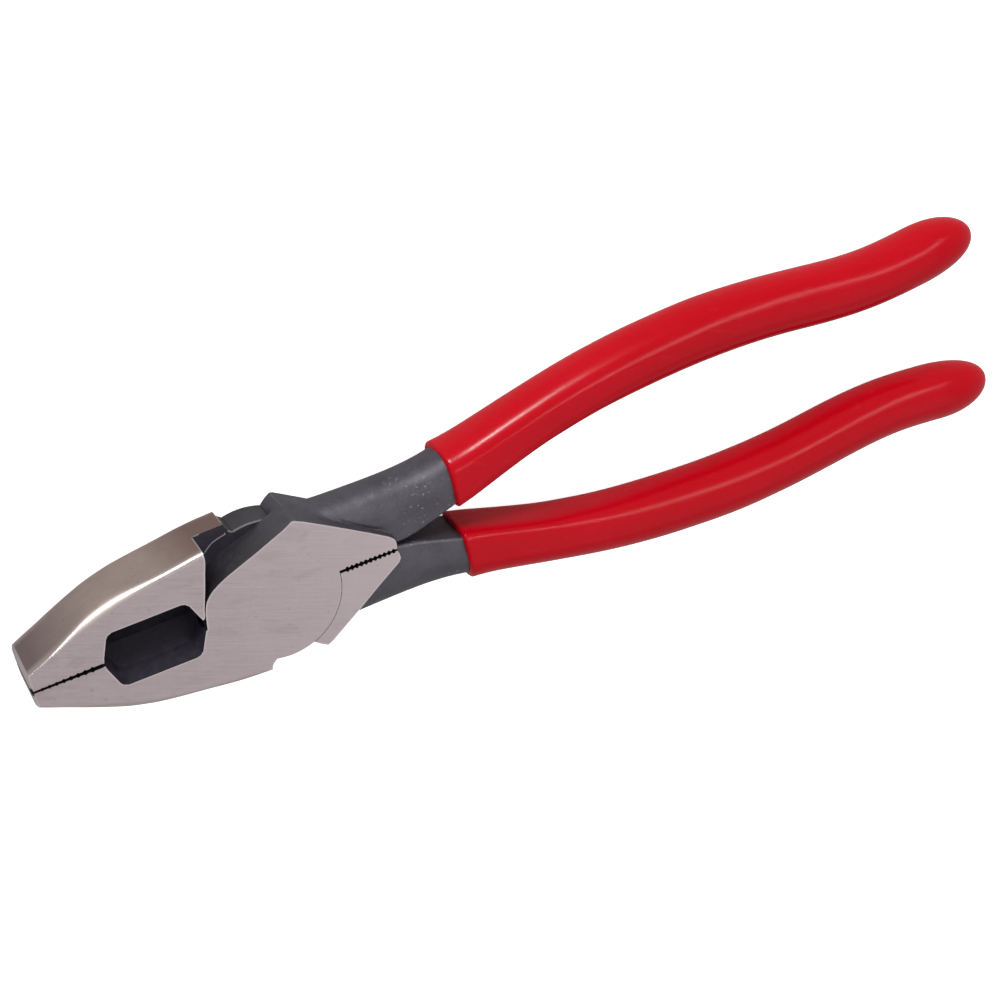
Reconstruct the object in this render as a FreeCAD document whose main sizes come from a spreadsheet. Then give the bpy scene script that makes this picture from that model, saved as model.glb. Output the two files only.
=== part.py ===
"""Lineman pliers: two identical lap-joint forgings, a flush rivet and two dipped grips.

Frame: origin on the pivot axis at the back ground face, jaws towards -X, +X along the handles,
+Y to the side of the upper jaw, +Z out of the front ground face. Millimetres.

The lower half carries the lower jaw, the front lap cheek and the upper handle. The upper half is
the same forging turned half a turn about the X direction through mid thickness.
"""
import FreeCAD, Part
import Sketcher
import itertools
import math
import os

V = FreeCAD.Vector
doc = FreeCAD.newDocument("LinemanPliers")
sheet = doc.addObject("Spreadsheet::Sheet", "Dims")
free_row = itertools.count(1)


# ------------------------------------------------------------------ dimensions and their cells
def text(number):
    """The expression behind a Dim, or a plain number as text."""
    return number.text if isinstance(number, Dim) else "%g" % number


class Dim(float):
    """A number that carries its spreadsheet expression through simple arithmetic."""

    def __new__(cls, number, expression):
        dim = super().__new__(cls, number)
        dim.text = expression
        return dim

    def __add__(self, other):
        return Dim(float(self) + float(other), f"({self.text} + {text(other)})")

    def __sub__(self, other):
        return Dim(float(self) - float(other), f"({self.text} - {text(other)})")

    def __mul__(self, other):
        return Dim(float(self) * float(other), f"({self.text} * {text(other)})")

    def __truediv__(self, other):
        return Dim(float(self) / float(other), f"({self.text} / {text(other)})")

    def __neg__(self):
        return Dim(-float(self), f"(0 - {self.text})")


def size(alias, number, note=""):
    """One driving dimension: column A says what it is, column B holds it under its alias."""
    row = next(free_row)
    sheet.set(f"A{row}", note or alias)
    sheet.set(f"B{row}", "%g" % number)
    sheet.setAlias(f"B{row}", alias)
    return Dim(number, "Dims." + alias)


def corner_sizes(key, table, arc_at=None):
    """Cells for the corners of an outline. An arc from corner arc_at (counted from 0) leaves the
    y of its start and the x of its end to its radius, so those two only start the solver."""
    arc_end = None if arc_at is None else (arc_at + 1) % len(table)
    corners = []
    for i, (x, y) in enumerate(table):
        if i != arc_end:
            x = size(f"{key}_{i + 1}_x", x)
        if i != arc_at:
            y = size(f"{key}_{i + 1}_y", y)
        corners.append((x, y))
    return corners


def station_sizes(key, columns, table):
    """Cells for a table of sections, one station to a row."""
    return [tuple(size(f"{key}_{i}_{column}", number) for column, number in zip(columns, row))
            for i, row in enumerate(table, 1)]


# ------------------------------------------------------------------ driving dimensions
thick = size("thick", 15.0, "thickness of the head across its two ground faces")
mid = thick / 2
lap_play = size("lap_play", 0.015, "play of each half at the lap plane")
seam = size("seam", 0.02, "half of the gap left between closed knives")
disc_rad = size("disc_rad", 13.15, "radius of the lap disc")
disc_play = size("disc_play", 0.15, "play round the other half's disc in its hollow")
bevel_deep = size("bevel_deep", 2.2, "depth of the bevel on the jaw's outer edges")
tail_past = size("tail_past", 0.5, "height the tail runs past mid thickness")
shoulder_low = size("shoulder_low", 2.6, "back side of the shoulder web")
shoulder_tall = size("shoulder_tall", 9.8, "thickness of the shoulder web")

rivet_rad = size("rivet_rad", 3.6, "rivet shank radius")
head_rad = size("head_rad", 5.2, "rivet head radius at the ground face")
head_deep = size("head_deep", 1.6, "depth of the sunk rivet head")
fixed_play = size("fixed_play", 0.02, "bore play in the half the rivet is upset into")
turning_play = size("turning_play", 0.04, "bore play in the half that turns on the rivet")
sink_play = size("sink_play", 0.03, "play of the sunk seats round the rivet heads")
bore_past = size("bore_past", 0.5, "run of the bore cut past both ground faces")

tooth_pitch = size("tooth_pitch", 1.41, "pitch of the gripping teeth")
tooth_first = size("tooth_first", -47.2, "first gripping groove")
tooth_half = size("tooth_half", 0.42, "half width and depth of a gripping groove")
tooth_past = size("tooth_past", 0.05, "run of a gripping groove's cut past the long axis")
tooth_count = size("tooth_count", 8)
comb_pitch = size("comb_pitch", 0.985, "pitch of the puller comb behind the joint")
comb_first = size("comb_first", 14.87, "first comb notch")
comb_half = size("comb_half", 0.34, "half width and depth of a comb notch")
comb_past = size("comb_past", 0.1, "run of a comb notch's cut past the comb edge")
comb_count = size("comb_count", 11)
comb_edge = size("comb_edge", 0.25, "height of the comb edge above the long axis")

knife_rise = size("knife_rise", 2.6, "height of the knife's bevel")
knife_reach = size("knife_reach", 4.25, "reach of the knife's bevel")
knife_past_edge = size("knife_past_edge", 0.6, "run of the bevel cut past the long axis")
knife_past_foot = size("knife_past_foot", 0.02, "run of the bevel cut past the recess foot")
knife_short = size("knife_short", 0.6, "length by which the bevel cut is shorter than the foot")
recess_past = size("recess_past", 0.01, "run of the recess cut past the ground face")

coat = size("coat", 1.35, "thickness of the dipped coat")
coat_play = size("coat_play", 0.02, "bond line left between coat and core")
mouth_play = coat_play * 2

# ------------------------------------------------------------------ outlines of a half: x, y
# The jaw is narrower at the ground faces than at mid thickness; its last corners are shared.
jaw_root = [(-12.84, -6.8), (-13.97, -3.2), (-14.6, -1.17), (-14.62, -0.02)]
jaw_face = corner_sizes("jaw_face", [
    (-48.96, -0.02), (-48.96, -3.2), (-46.64, -4.35), (-42.93, -5.82), (-38.6, -7.52),
    (-35.42, -8.65), (-31.63, -9.85), (-28.45, -10.85), (-25.0, -11.62), (-20.4, -12.45),
    (-16.0, -13.1), (-11.1, -13.8)] + jaw_root)
jaw_mid = corner_sizes("jaw_mid", [
    (-49.0, -0.02), (-49.0, -3.25), (-46.64, -4.45), (-42.9, -6.2), (-38.6, -8.5),
    (-35.4, -10.1), (-31.6, -11.55), (-28.4, -12.4), (-25.0, -12.85), (-20.4, -13.35),
    (-16.0, -14.0), (-11.1, -14.95)] + jaw_root)

# cheek in the front layer, with the lap disc's arc
CHEEK_ARC = 4
cheek = corner_sizes("cheek", [
    (-16.0, -13.1), (-9.8, -13.9), (-4.69, -14.5), (-3.95, -13.3), (-3.4, -12.7029),
    (13.1476, 0.25), (25.36, 0.25), (25.45, 1.75), (25.21, 2.64), (23.9, 3.66), (18.22, 7.11),
    (12.64, 10.51), (9.03, 12.6), (7.18, 13.5), (6.17, 13.26), (4.69, 12.66), (0.74, 11.2),
    (-2.69, 9.8), (-7.63, 7.9), (-11.05, 6.4), (-12.48, 5.23), (-13.39, 3.93), (-13.99, 1.61),
    (-14.43, -1.0), (-16.0, -5.0)], CHEEK_ARC)

# tail in the back layer; the arc round the other half's disc closes it, last corner to first
TAIL_ARC = 11
tail = corner_sizes("tail", [
    (13.2976, 0.25), (25.36, 0.25), (25.61, 1.83), (25.18, 2.73), (23.47, 4.09), (19.73, 6.53),
    (14.23, 9.87), (11.23, 11.7), (8.73, 13.22), (7.2, 14.1), (5.54, 13.25), (4.9, 12.3645)],
    TAIL_ARC)

# shoulder web that carries the tail and cheek into the tang
shoulder = corner_sizes("shoulder", [
    (6.7, 13.6), (7.2, 14.05), (9.0, 13.35), (11.0, 12.9),
    (14.6, 12.5), (14.6, 8.6), (10.8, 9.4), (8.4, 11.4)])

# knife recess at the ground face and at the foot of its steep wall
recess_face = corner_sizes("recess_face", [
    (-34.95, 0.6), (-34.95, -0.1), (-33.05, -4.8), (-31.8, -5.75),
    (-17.95, -5.85), (-16.6, -5.0), (-15.3, -1.0), (-15.3, 0.6)])
recess_foot = corner_sizes("recess_foot", [
    (-34.3, 0.6), (-34.3, -0.1), (-32.6, -3.6), (-31.7, -4.25),
    (-18.1, -4.3), (-17.0, -3.7), (-15.9, -1.0), (-15.9, 0.6)])

# ------------------------------------------------------------------ sections along the handle
# bare tang, eight-sided: x, then y and half z of inner side, ridge, outer shoulder, outer side
tang = station_sizes(
    "tang",
    ("at", "inner_y", "inner_z", "ridge_y", "ridge_z",
     "shoulder_y", "shoulder_z", "outer_y", "outer_z"),
    [(13.4, 1.0, 4.2, 2.0, 5.4, 10.6, 5.4, 12.55, 3.0),
     (20.0, 0.8, 4.2, 1.8, 5.4, 10.0, 5.4, 12.35, 3.0),
     (27.0, 0.85, 3.0, 1.6, 5.3, 9.8, 5.4, 12.25, 2.7),
     (31.0, 1.2, 2.8, 2.3, 5.1, 9.8, 5.3, 12.25, 2.6),
     (35.0, 2.0, 2.6, 3.5, 4.9, 10.2, 5.2, 12.55, 2.5),
     (40.3, 3.0, 2.5, 5.0, 4.7, 11.2, 5.1, 13.45, 2.4),
     (45.0, 4.3, 2.2, 6.2, 4.4, 12.2, 4.7, 14.15, 2.2)])

# dipped grip, oval: x, centre y, half width along y, half height along z
OVAL = ("at", "center_y", "half_y", "half_z")
grip = station_sizes("grip", OVAL, [
    (40.3, 8.25, 6.75, 6.2), (44.0, 8.75, 7.0, 6.35), (48.0, 9.9, 6.85, 6.35),
    (52.5, 11.1, 6.78, 6.3), (60.5, 13.2, 6.62, 6.25), (69.0, 15.05, 6.58, 6.2),
    (77.5, 16.45, 6.62, 6.2), (86.5, 17.35, 6.66, 6.2), (96.0, 17.97, 6.68, 6.2),
    (104.0, 18.07, 6.66, 6.2), (113.0, 17.75, 6.6, 6.15), (122.0, 16.85, 6.55, 6.1),
    (131.5, 15.8, 6.45, 6.05), (141.0, 15.33, 6.35, 6.0), (150.5, 15.95, 6.3, 5.95),
    (157.0, 16.65, 6.0, 5.7), (161.0, 16.9, 5.35, 5.1), (164.4, 16.95, 4.15, 3.95),
    (166.6, 16.9, 2.6, 2.45), (167.6, 16.85, 1.1, 1.0)])
# the tang's core follows grip stations 2 to 14, a coat's thickness inside, then rounds off
CORE_FIRST, CORE_LAST = 2, 14
core_end = station_sizes("core", OVAL, [
    (155.0, 16.45, 4.1, 3.8), (158.5, 16.7, 3.1, 2.9), (160.2, 16.8, 1.4, 1.3)])
doc.recompute()


# ------------------------------------------------------------------ sketch helpers
def sketch(body, name, role, offset=None):
    """An empty sketch on one of the body's origin planes, moved along its normal by a Dim."""
    sk = body.newObject("Sketcher::SketchObject", name)
    plane = next(f for f in body.Origin.OriginFeatures if f.Role == role)
    sk.AttachmentSupport = [(plane, "")]
    sk.MapMode = "FlatFace"
    if offset is not None:
        sk.setExpression(".AttachmentOffset.Base.z", text(offset))
    return sk


def bind(sk, kind, *geometry, to):
    """Adds a dimension to the sketch and ties it to its expression."""
    i = sk.addConstraint(Sketcher.Constraint(kind, *geometry, float(to)))
    sk.setExpression(f"Constraints[{i}]", text(to))


def outline(sk, corners, arc_at=None, radius=None, clockwise=False):
    """A closed outline. The side from corner arc_at may be an arc about the sketch origin."""
    count = len(corners)
    for i, (x, y) in enumerate(corners):
        next_x, next_y = corners[(i + 1) % count]
        if i == arc_at:
            angles = [math.atan2(y, x), math.atan2(next_y, next_x)]
            if clockwise:
                angles.reverse()
            circle = Part.Circle(V(0, 0, 0), V(0, 0, 1), float(radius))
            sk.addGeometry(Part.ArcOfCircle(circle, *angles), False)
        else:
            sk.addGeometry(Part.LineSegment(V(x, y, 0), V(next_x, next_y, 0)), False)

    def ends(i):
        """Start and end point numbers; a clockwise arc is stored the other way round."""
        return (2, 1) if i == arc_at and clockwise else (1, 2)

    for i in range(count):
        j = (i + 1) % count
        sk.addConstraint(Sketcher.Constraint("Coincident", i, ends(i)[1], j, ends(j)[0]))
    if arc_at is not None:
        sk.addConstraint(Sketcher.Constraint("Coincident", arc_at, 3, -1, 1))
    arc_end = None if arc_at is None else (arc_at + 1) % count
    for i, (x, y) in enumerate(corners):
        if i != arc_end:
            bind(sk, "DistanceX", i, ends(i)[0], to=x)
        if i != arc_at:
            bind(sk, "DistanceY", i, ends(i)[0], to=y)
    if arc_at is not None:
        bind(sk, "Radius", arc_at, to=radius)


def oval(sk, center_y, half_y, half_z):
    """An ellipse centred on mid thickness, in a YZ sketch."""
    ellipse = sk.addGeometry(Part.Ellipse(V(center_y, mid, 0), float(half_y), float(half_z)), False)
    major = sk.addGeometry(Part.LineSegment(V(center_y - half_y, mid, 0),
                                            V(center_y + half_y, mid, 0)), True)
    minor = sk.addGeometry(Part.LineSegment(V(center_y, mid - half_z, 0),
                                            V(center_y, mid + half_z, 0)), True)
    sk.addConstraint(Sketcher.Constraint("InternalAlignment:EllipseMajorDiameter", major, ellipse))
    sk.addConstraint(Sketcher.Constraint("InternalAlignment:EllipseMinorDiameter", minor, ellipse))
    sk.addConstraint(Sketcher.Constraint("Horizontal", major))
    bind(sk, "DistanceX", ellipse, 3, to=center_y)
    bind(sk, "DistanceY", ellipse, 3, to=mid)
    bind(sk, "Distance", major, to=half_y * 2)
    bind(sk, "Distance", minor, to=half_z * 2)


def from_mid(sign, distance):
    """A height in front of (+1) or behind (-1) mid thickness."""
    return mid + distance if sign > 0 else mid - distance


# ------------------------------------------------------------------ feature helpers
def drive(feature, prop, dim):
    setattr(feature, prop, float(dim))
    feature.setExpression(prop, dim.text)


def loft(body, kind, name, sections, ruled):
    doc.recompute()
    feature = body.newObject("PartDesign::" + kind, name)
    feature.Profile = sections[0]
    feature.Sections = sections[1:]
    feature.Ruled = ruled
    feature.Closed = False
    for sk in sections:
        sk.Visibility = False
    doc.recompute()


def extrude(body, kind, name, profile, length, backwards=False):
    feature = body.newObject("PartDesign::" + kind, name)
    feature.Profile = profile
    feature.Reversed = backwards
    drive(feature, "Length", length)
    profile.Visibility = False
    doc.recompute()
    return feature


def turn(body, kind, name, profile):
    """A full turn of an XZ sketch about the pivot axis."""
    feature = body.newObject("PartDesign::" + kind, name)
    feature.Profile = profile
    feature.ReferenceAxis = (profile, ["V_Axis"])
    feature.Angle = 360.0
    profile.Visibility = False
    doc.recompute()
    body.Tip = feature


def turn_over(body):
    """Half a turn about the X direction through mid thickness."""
    body.Placement = FreeCAD.Placement(V(0, 0, thick), FreeCAD.Rotation(V(1, 0, 0), 180))
    body.setExpression(".Placement.Base.z", thick.text)


# ------------------------------------------------------------------ sections shared by both parts
def tang_sections(body, prefix, first, play=0.0):
    """Eight-sided sections from tang station first (counted from 1) on, grown by the play."""
    sections = []
    for i, station in enumerate(tang[first - 1:], first):
        at, inner_y, inner_z, ridge_y, ridge_z, shoulder_y, shoulder_z, outer_y, outer_z = station
        sk = sketch(body, f"{prefix}_{i}", "YZ_Plane", at)
        side = [(inner_y - play, inner_z + play), (ridge_y - play, ridge_z + play),
                (shoulder_y + play, shoulder_z + play), (outer_y + play, outer_z + play)]
        outline(sk, [(y, mid - z) for y, z in side] + [(y, mid + z) for y, z in reversed(side)])
        sections.append(sk)
    return sections


def core_sections(body, prefix, play=0.0):
    """Oval sections of the tang's core, grown by the play; the tip also moves out by twice it."""
    sections = []
    for i, station in enumerate(grip[CORE_FIRST - 1:CORE_LAST], CORE_FIRST):
        at, center_y, half_y, half_z = station
        sk = sketch(body, f"{prefix}_{i}", "YZ_Plane", at)
        oval(sk, center_y, half_y - coat + play, half_z - coat + play)
        sections.append(sk)
    for i, (at, center_y, half_y, half_z) in enumerate(core_end, 1):
        if i == len(core_end):
            at = at + play * 2
        sk = sketch(body, f"{prefix}_end_{i}", "YZ_Plane", at)
        oval(sk, center_y, half_y + play, half_z + play)
        sections.append(sk)
    return sections


# ------------------------------------------------------------------ one forged half
def add_jaw(body, label):
    """Full-thickness jaw with bevelled outer edges."""
    sections = []
    for place, corners, height in (("back", jaw_face, None), ("low", jaw_mid, bevel_deep),
                                   ("high", jaw_mid, thick - bevel_deep),
                                   ("front", jaw_face, thick)):
        sk = sketch(body, f"{label}_jaw_{place}", "XY_Plane", height)
        outline(sk, corners)
        sections.append(sk)
    loft(body, "AdditiveLoft", label + "_jaw", sections, ruled=True)


def add_joint(body, label):
    """Cheek with the lap disc in front, tail behind, and the shoulder web across them."""
    sk = sketch(body, label + "_cheek_outline", "XY_Plane", mid + lap_play)
    outline(sk, cheek, CHEEK_ARC, disc_rad)
    extrude(body, "Pad", label + "_cheek", sk, thick - mid - lap_play)

    sk = sketch(body, label + "_tail_outline", "XY_Plane")
    outline(sk, tail, TAIL_ARC, disc_rad + disc_play, clockwise=True)
    extrude(body, "Pad", label + "_tail", sk, mid + tail_past)

    sk = sketch(body, label + "_shoulder_outline", "XY_Plane", shoulder_low)
    outline(sk, shoulder)
    extrude(body, "Pad", label + "_shoulder", sk, shoulder_tall)


def cut_knives(body, label):
    """Steep-walled recesses in both faces, then the knife's bevel at the foot of each."""
    for side, sign, face in (("front", 1, thick + recess_past), ("back", -1, -recess_past)):
        top = sketch(body, f"{label}_recess_{side}_face", "XY_Plane", face)
        outline(top, recess_face)
        foot = sketch(body, f"{label}_recess_{side}_foot", "XY_Plane", from_mid(sign, knife_rise))
        outline(foot, recess_foot)
        loft(body, "SubtractiveLoft", f"{label}_recess_{side}", [top, foot], ruled=True)

    foot_start, foot_end = recess_foot[0][0], recess_foot[-1][0]
    for side, sign in (("front", 1), ("back", -1)):
        sk = sketch(body, f"{label}_knife_{side}_profile", "YZ_Plane", foot_start)
        past_foot = from_mid(sign, knife_rise + knife_past_foot)
        outline(sk, [(-seam, mid), (knife_past_edge, mid), (knife_past_edge, past_foot),
                     (-knife_reach, past_foot), (-knife_reach, from_mid(sign, knife_rise))])
        extrude(body, "Pocket", f"{label}_knife_{side}", sk,
                foot_end - foot_start - knife_short, backwards=True)


def cut_row(body, name, corners, pitch, count):
    """One groove through the thickness, repeated along X."""
    sk = sketch(body, name + "_profile", "XY_Plane")
    outline(sk, corners)
    cut = extrude(body, "Pocket", name, sk, thick, backwards=True)
    row = body.newObject("PartDesign::LinearPattern", name + "_row")
    row.Originals = [cut]
    row.Direction = (sk, ["H_Axis"])
    drive(row, "Length", pitch * (count - 1))
    row.Occurrences = int(count)
    row.setExpression("Occurrences", count.text)
    body.Tip = row
    doc.recompute()


def cut_teeth(body, label):
    """Gripping grooves in the jaw and comb notches behind the joint."""
    left, right = tooth_first - tooth_half, tooth_first + tooth_half
    cut_row(body, label + "_tooth",
            [(left, tooth_past), (left, 0.0), (tooth_first, -tooth_half),
             (right, 0.0), (right, tooth_past)], tooth_pitch, tooth_count)
    left, right = comb_first - comb_half, comb_first + comb_half
    cut_row(body, label + "_comb",
            [(right, comb_edge - comb_past), (right, comb_edge),
             (comb_first, comb_edge + comb_half),
             (left, comb_edge), (left, comb_edge - comb_past)], comb_pitch, comb_count)


def cut_bore(body, label, bore_rad):
    """Rivet bore with its sunk seat in the front face."""
    sk = sketch(body, label + "_bore_profile", "XZ_Plane")
    seat_rad = head_rad + sink_play
    outline(sk, [(0.0, -bore_past), (bore_rad, -bore_past),
                 (bore_rad, thick - head_deep - sink_play), (seat_rad, thick),
                 (seat_rad, thick + bore_past), (0.0, thick + bore_past)])
    turn(body, "Groove", label + "_bore", sk)


def forged_half(label, bore_rad):
    body = doc.addObject("PartDesign::Body", label)
    add_jaw(body, label)
    add_joint(body, label)
    loft(body, "AdditiveLoft", label + "_tang",
         tang_sections(body, label + "_tang", first=1), ruled=True)
    loft(body, "AdditiveLoft", label + "_core",
         core_sections(body, label + "_core"), ruled=False)
    cut_knives(body, label)
    cut_teeth(body, label)
    cut_bore(body, label, bore_rad)
    return body


# ------------------------------------------------------------------ rivet
def pivot_rivet():
    """Shank with a conical head flush with each ground face."""
    body = doc.addObject("PartDesign::Body", "pivot_rivet")
    sk = sketch(body, "rivet_profile", "XZ_Plane")
    outline(sk, [(0.0, 0.0), (head_rad, 0.0), (rivet_rad, head_deep),
                 (rivet_rad, thick - head_deep), (head_rad, thick), (0.0, thick)])
    turn(body, "Revolution", "rivet_turned", sk)
    return body


# ------------------------------------------------------------------ dipped grips
def dipped_grip(label):
    """Oval coat, hollowed for the core and, at the mouth, for the eight-sided bare tang."""
    body = doc.addObject("PartDesign::Body", label)
    sections = []
    for i, (at, center_y, half_y, half_z) in enumerate(grip, 1):
        sk = sketch(body, f"{label}_out_{i}", "YZ_Plane", at)
        oval(sk, center_y, half_y, half_z)
        sections.append(sk)
    loft(body, "AdditiveLoft", label + "_coat", sections, ruled=False)
    loft(body, "SubtractiveLoft", label + "_hollow",
         core_sections(body, label + "_in", coat_play), ruled=False)
    loft(body, "SubtractiveLoft", label + "_mouth",
         tang_sections(body, label + "_mouth", first=5, play=mouth_play), ruled=True)
    return body


# ------------------------------------------------------------------ assembly
lower_half = forged_half("lower_jaw_half", rivet_rad + fixed_play)
upper_half = forged_half("upper_jaw_half", rivet_rad + turning_play)
turn_over(upper_half)
rivet = pivot_rivet()
upper_grip = dipped_grip("upper_handle_grip")
lower_grip = dipped_grip("lower_handle_grip")
turn_over(lower_grip)
doc.recompute()

# ------------------------------------------------------------------ state check and export
pieces = [lower_half, upper_half, rivet, upper_grip, lower_grip]
bad = [(o.Name, o.State) for o in doc.Objects if "Invalid" in o.State or "Error" in o.State]
bad += [(b.Label, "shape") for b in pieces if b.Shape.isNull() or not b.Shape.isValid()]
if bad:
    raise RuntimeError("bad objects: %s" % bad)
os.makedirs("parts", exist_ok=True)
for piece in pieces:
    piece.Shape.exportStep("parts/%s.step" % piece.Label)
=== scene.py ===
"""Lineman pliers, closed and lying on their back face.

The pivot axis is at x = y = 0, +X runs along the handles and +Z out of the front ground face, with
the back face at z = 0. Shapes are worked out in millimetres and scaled to metres as meshes are made;
the stage, lights, camera and shader coordinates are in metres. Both halves are one shape, turned
half a turn about X.
"""
import bpy, math
import numpy as np
from mathutils import Matrix, Vector


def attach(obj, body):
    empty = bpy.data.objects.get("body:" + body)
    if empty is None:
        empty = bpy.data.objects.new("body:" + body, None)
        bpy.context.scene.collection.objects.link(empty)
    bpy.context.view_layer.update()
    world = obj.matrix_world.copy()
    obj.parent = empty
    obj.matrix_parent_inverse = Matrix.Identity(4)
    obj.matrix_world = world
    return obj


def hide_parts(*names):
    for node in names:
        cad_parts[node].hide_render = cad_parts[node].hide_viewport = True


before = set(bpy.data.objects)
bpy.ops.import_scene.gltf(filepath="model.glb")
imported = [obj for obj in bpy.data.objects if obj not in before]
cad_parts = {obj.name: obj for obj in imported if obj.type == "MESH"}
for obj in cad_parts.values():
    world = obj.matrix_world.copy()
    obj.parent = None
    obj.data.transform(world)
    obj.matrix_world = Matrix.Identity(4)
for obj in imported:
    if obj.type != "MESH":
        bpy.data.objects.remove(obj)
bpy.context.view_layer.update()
F32 = np.float32        # the sampled shape is worked out in single precision
METRES = 0.001          # metres in a millimetre

THICK = 15.0            # between the ground faces
MID = THICK / 2
DISC = 13.21            # radius of the lap disc
HOLLOW = 13.31          # radius of the hollow that takes the other half's disc
LAP = 0.015             # lap plane, in front of mid thickness


# ------------------------------------------------------------------ curves and outlines
def monotone(table):
    """A curve through (x, value) pairs that overshoots none of them, as a function of x."""
    xs, ys = np.array(table, float).T
    gap = np.diff(xs)
    rise = np.diff(ys) / gap
    slope = np.zeros(len(xs))
    for i in range(1, len(xs) - 1):
        if rise[i - 1] * rise[i] > 0:
            before, after = 2 * gap[i] + gap[i - 1], gap[i] + 2 * gap[i - 1]
            slope[i] = (before + after) / (before / rise[i - 1] + after / rise[i])
    slope[0], slope[-1] = rise[0], rise[-1]
    dense = np.linspace(xs[0], xs[-1], 1200)
    k = np.clip(np.searchsorted(xs, dense, side="right") - 1, 0, len(gap) - 1)
    t = (dense - xs[k]) / gap[k]
    value = ((2 * t ** 3 - 3 * t ** 2 + 1) * ys[k]
             + (t ** 3 - 2 * t ** 2 + t) * gap[k] * slope[k]
             + (-2 * t ** 3 + 3 * t ** 2) * ys[k + 1]
             + (t ** 3 - t ** 2) * gap[k] * slope[k + 1])
    return lambda x: np.interp(x, dense, value)


def natural(table, soften=True):
    """A natural cubic spline through (x, value) pairs; soften takes a running mean of it."""
    xs, ys = np.array(table, float).T
    n = len(xs)
    gap = np.diff(xs)
    system, right = np.zeros((n, n)), np.zeros(n)
    system[0, 0] = system[-1, -1] = 1
    for i in range(1, n - 1):
        system[i, i - 1:i + 2] = gap[i - 1], 2 * (gap[i - 1] + gap[i]), gap[i]
        right[i] = 6 * ((ys[i + 1] - ys[i]) / gap[i] - (ys[i] - ys[i - 1]) / gap[i - 1])
    bend = np.linalg.solve(system, right)
    dense = np.linspace(xs[0], xs[-1], 2400)
    k = np.clip(np.searchsorted(xs, dense, side="right") - 1, 0, n - 2)
    to_next, from_last = xs[k + 1] - dense, dense - xs[k]
    value = ((bend[k] * to_next ** 3 + bend[k + 1] * from_last ** 3) / (6 * gap[k])
             + (ys[k] / gap[k] - bend[k] * gap[k] / 6) * to_next
             + (ys[k + 1] / gap[k] - bend[k + 1] * gap[k] / 6) * from_last)
    if soften:
        value = np.convolve(np.pad(value, 20, mode="edge"), np.ones(41) / 41, mode="valid")
    return lambda x: np.interp(x, dense, value)


def catmull_rom(points, steps):
    """A smooth run of points through the given ones, ends included."""
    p = [np.array(q, float) for q in points]
    p = [2 * p[0] - p[1]] + p + [2 * p[-1] - p[-2]]
    out = []
    for i in range(1, len(p) - 2):
        for j in range(steps):
            t = j / steps
            a, b, c, d = p[i - 1:i + 3]
            out.append(tuple(0.5 * (2 * b + (c - a) * t + (2 * a - 5 * b + 4 * c - d) * t * t
                                    + (3 * b - a - 3 * c + d) * t ** 3)))
    return out + [points[-1]]


def arc(radius, start, end, step):
    """Points on a circle about the pivot; angles in degrees."""
    count = max(2, int(abs(end - start) / step) + 1)
    return [(radius * math.cos(math.radians(a)), radius * math.sin(math.radians(a)))
            for a in np.linspace(start, end, count)]


TABLE_X, TABLE_Y = -52.0, -21.0      # corner of the distance tables
TABLE_STEP = 0.1
TABLE_NX, TABLE_NY = 990, 390


class Outline:
    """Signed distance to a closed outline of (x, y) points, inside negative, from a fine table."""

    def __init__(self, points):
        X = (TABLE_X + TABLE_STEP * np.arange(TABLE_NX, dtype=F32))[:, None]
        Y = (TABLE_Y + TABLE_STEP * np.arange(TABLE_NY, dtype=F32))[None, :]
        nearest = np.full((TABLE_NX, TABLE_NY), 1e9, F32)
        inside = np.zeros((TABLE_NX, TABLE_NY), bool)
        for (ax, ay), (bx, by) in zip(points, points[1:] + points[:1]):
            ax, ay, bx, by = F32(ax), F32(ay), F32(bx), F32(by)
            dx, dy = bx - ax, by - ay
            length2 = dx * dx + dy * dy
            if length2 < 1e-10:
                continue
            t = np.clip(((X - ax) * dx + (Y - ay) * dy) / length2, 0, 1)
            distance2 = (X - ax - t * dx) ** 2 + (Y - ay - t * dy) ** 2
            np.minimum(nearest, distance2, out=nearest)
            if ay != by:
                level = (Y >= min(ay, by)) & (Y < max(ay, by))
                inside ^= level & (X < ax + (Y - ay) * dx / dy)
        self.table = np.where(inside, -np.sqrt(nearest), np.sqrt(nearest)).astype(F32)

    def __call__(self, x, y):
        u = np.clip((x - TABLE_X) / TABLE_STEP, 0, TABLE_NX - 1.001)
        v = np.clip((y - TABLE_Y) / TABLE_STEP, 0, TABLE_NY - 1.001)
        i, j = u.astype(np.int32), v.astype(np.int32)
        fu, fv = (u - i).astype(F32), (v - j).astype(F32)
        T = self.table
        return ((T[i, j] * (1 - fu) + T[i + 1, j] * fu) * (1 - fv)
                + (T[i, j + 1] * (1 - fu) + T[i + 1, j + 1] * fu) * fv)


def soft_min(a, b, width):
    h = np.clip(0.5 + 0.5 * (b - a) / width, 0, 1)
    return b + (a - b) * h - width * h * (1 - h)


def soft_max(a, b, width):
    return -soft_min(-a, -b, width)


# ------------------------------------------------------------------ tables of the forged half
# The half with the jaw at -Y and the handle at +Y. Jaw's outer side: (x, distance below y = 0),
# at mid thickness and at the front and back faces.
side_mid = natural([
    (-50.5, 3.0), (-49.0, 3.7), (-46.6, 4.75), (-42.9, 6.5), (-38.6, 8.75), (-35.4, 10.35),
    (-31.6, 11.7), (-28.4, 12.45), (-25.0, 12.95), (-20.4, 13.5), (-16.0, 14.15), (-11.1, 14.9),
    (-4.6, 15.1), (-1.0, 15.2)])
side_front = monotone([
    (-50.5, 2.4), (-49.0, 3.05), (-46.6, 4.2), (-44.4, 5.15), (-40.5, 6.8), (-36.0, 8.4),
    (-32.6, 9.7), (-29.8, 10.6), (-26.7, 11.5), (-22.0, 12.4), (-17.7, 13.0), (-12.0, 13.75),
    (-4.6, 14.5), (-1.0, 14.8)])
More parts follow.
